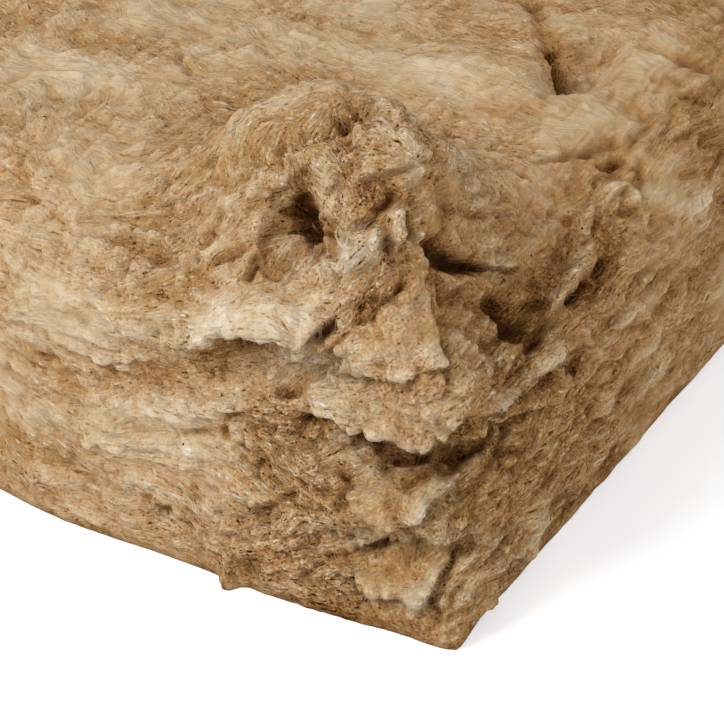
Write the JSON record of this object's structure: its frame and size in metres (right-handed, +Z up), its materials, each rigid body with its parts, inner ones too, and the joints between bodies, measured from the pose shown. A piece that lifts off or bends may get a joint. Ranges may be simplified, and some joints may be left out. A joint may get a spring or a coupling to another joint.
{
  "type": "mineral wool insulation batt",
  "caption": "Thick flat slab of cream-tan mineral wool with soft rounded edges, layered cut sides and one torn, tufted corner.",
  "frame": {"origin": "on the floor, under the middle of the slab's nominal length and width", "axes": "+X along the length towards the torn end, +Y across the width away from the torn side, +Z up out of the upper face"},
  "size_m": [1.2021, 0.6051, 0.1245],
  "materials": {
    "wool": "matted stone wool, dull and fibrous"
  },
  "bodies": {
    "root": {"wool_batt": "wool"}
  },
  "joints": []
}
